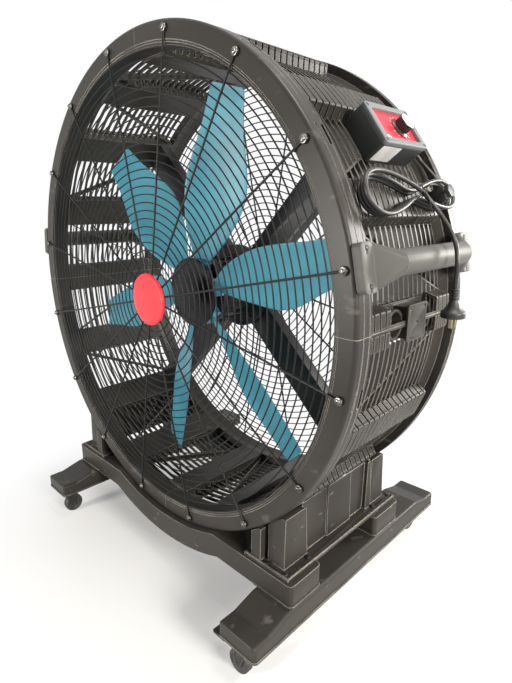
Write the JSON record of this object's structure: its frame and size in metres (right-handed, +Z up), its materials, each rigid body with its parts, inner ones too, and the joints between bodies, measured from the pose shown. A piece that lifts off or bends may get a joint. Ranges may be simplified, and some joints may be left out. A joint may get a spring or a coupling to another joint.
{
  "type": "drum fan",
  "caption": "Large castored drum fan: louvred barrel, wire guards, pitched blades on a rear-mounted motor, side grips, speed box and cradle base.",
  "frame": {"origin": "on the floor, at the middle of the base in plan", "axes": "+Z up, +Y from the front guard towards the rear along the drum axis, +X to the side with the speed box"},
  "size_m": [1.1861, 0.694, 1.212],
  "materials": {
    "zinc": "zinc plated",
    "caster_black": "satin",
    "wheel_rubber": "matte",
    "badge_red": "glossy",
    "bezel_grey": "satin",
    "charcoal_plastic": "fine satin moulded texture",
    "panel_red": "satin film",
    "knob_black": "satin",
    "cord_black": "satin pvc",
    "tie_black": "satin",
    "blade_blue": "smooth satin",
    "black_screw": "black oxide",
    "black_wire": "semi-gloss black coating",
    "hub_gloss": "high gloss black",
    "motor_black": "satin black paint",
    "arm_black": "satin black powder coat",
    "steel": "turned steel",
    "winding": "varnished winding"
  },
  "bodies": {
    "frame": {"caster_plates": "zinc", "centre_badge": "badge_red", "control_bezel": "bezel_grey", "control_box": "charcoal_plastic", "control_panel": "panel_red", "cord_gland": "knob_black", "cord_hank": "cord_black", "cord_holder": "knob_black", "cord_tie": "tie_black", "cross_beam_front": "charcoal_plastic", "cross_beam_rear": "charcoal_plastic", "drum_segment_1": "charcoal_plastic", "drum_segment_2": "charcoal_plastic", "drum_segment_3": "charcoal_plastic", "drum_segment_4": "charcoal_plastic", "foot_beam_left": "charcoal_plastic", "foot_beam_right": "charcoal_plastic", "frame_screws": "black_screw", "front_guard": "black_wire", "guard_screws": "zinc", "handle_left": "charcoal_plastic", "handle_right": "charcoal_plastic", "knob_potentiometer": "motor_black", "mains_plug": "cord_black", "motor_arm_1": "arm_black", "motor_arm_2": "arm_black", "motor_arm_3": "arm_black", "motor_arm_4": "arm_black", "motor_bearings": "steel", "motor_end_bell": "motor_black", "motor_housing": "motor_black", "motor_stator": "winding", "power_cord": "cord_black", "rear_guard": "black_wire", "side_mount_left": "charcoal_plastic", "side_mount_right": "charcoal_plastic", "side_rails": "charcoal_plastic", "support_bracket_left": "charcoal_plastic", "support_bracket_right": "charcoal_plastic"},
    "rotor": {"fan_blade_1": "blade_blue", "fan_blade_2": "blade_blue", "fan_blade_3": "blade_blue", "fan_blade_4": "blade_blue", "fan_blade_5": "blade_blue", "fan_blade_6": "blade_blue", "rotor_hub": "hub_gloss", "hub_cap": "hub_gloss", "blade_screws": "zinc", "motor_shaft": "steel"},
    "knob": {"speed_knob": "knob_black"},
    "swivel_front_right": {"caster_fork_front_right": "caster_black"},
    "wheel_front_right": {"caster_wheel_front_right": "wheel_rubber"},
    "swivel_front_left": {"caster_fork_front_left": "caster_black"},
    "wheel_front_left": {"caster_wheel_front_left": "wheel_rubber"},
    "swivel_rear_right": {"caster_fork_rear_right": "caster_black"},
    "wheel_rear_right": {"caster_wheel_rear_right": "wheel_rubber"},
    "swivel_rear_left": {"caster_fork_rear_left": "caster_black"},
    "wheel_rear_left": {"caster_wheel_rear_left": "wheel_rubber"},
    "pedal_front_right": {"brake_pedal_front_right": "caster_black"},
    "pedal_front_left": {"brake_pedal_front_left": "caster_black"}
  },
  "joints": [
    {"name": "fan_spin", "type": "hinge", "parent": "frame", "child": "rotor", "pos_m": [0, -0.1, 0.676], "axis": [0, 1, 0], "continuous": true},
    {"name": "speed_turn", "type": "hinge", "parent": "frame", "child": "knob", "pos_m": [0.45835, 0.003, 1.00294], "axis": [0.8141, 0, 0.5807], "range_deg": [-135, 135]},
    {"name": "swivel_turn_front_right", "type": "hinge", "parent": "frame", "child": "swivel_front_right", "pos_m": [0.381, -0.32, 0.071], "axis": [0, 0, 1], "continuous": true},
    {"name": "wheel_roll_front_right", "type": "hinge", "parent": "swivel_front_right", "child": "wheel_front_right", "pos_m": [0.366, -0.32, 0.025], "axis": [0, 1, 0], "continuous": true},
    {"name": "brake_press_front_right", "type": "hinge", "parent": "swivel_front_right", "child": "pedal_front_right", "pos_m": [0.368, -0.32, 0.0605], "axis": [0, -1, 0], "range_deg": [0, 16]},
    {"name": "swivel_turn_front_left", "type": "hinge", "parent": "frame", "child": "swivel_front_left", "pos_m": [-0.381, -0.32, 0.071], "axis": [0, 0, 1], "continuous": true},
    {"name": "wheel_roll_front_left", "type": "hinge", "parent": "swivel_front_left", "child": "wheel_front_left", "pos_m": [-0.381, -0.305, 0.025], "axis": [1, 0, 0], "continuous": true},
    {"name": "brake_press_front_left", "type": "hinge", "parent": "swivel_front_left", "child": "pedal_front_left", "pos_m": [-0.381, -0.307, 0.0605], "axis": [-1, 0, 0], "range_deg": [0, 16]},
    {"name": "swivel_turn_rear_right", "type": "hinge", "parent": "frame", "child": "swivel_rear_right", "pos_m": [0.381, 0.32, 0.071], "axis": [0, 0, 1], "continuous": true},
    {"name": "wheel_roll_rear_right", "type": "hinge", "parent": "swivel_rear_right", "child": "wheel_rear_right", "pos_m": [0.381, 0.305, 0.025], "axis": [-1, 0, 0], "continuous": true},
    {"name": "swivel_turn_rear_left", "type": "hinge", "parent": "frame", "child": "swivel_rear_left", "pos_m": [-0.381, 0.32, 0.071], "axis": [0, 0, 1], "continuous": true},
    {"name": "wheel_roll_rear_left", "type": "hinge", "parent": "swivel_rear_left", "child": "wheel_rear_left", "pos_m": [-0.381, 0.305, 0.025], "axis": [-1, 0, 0], "continuous": true}
  ]
}
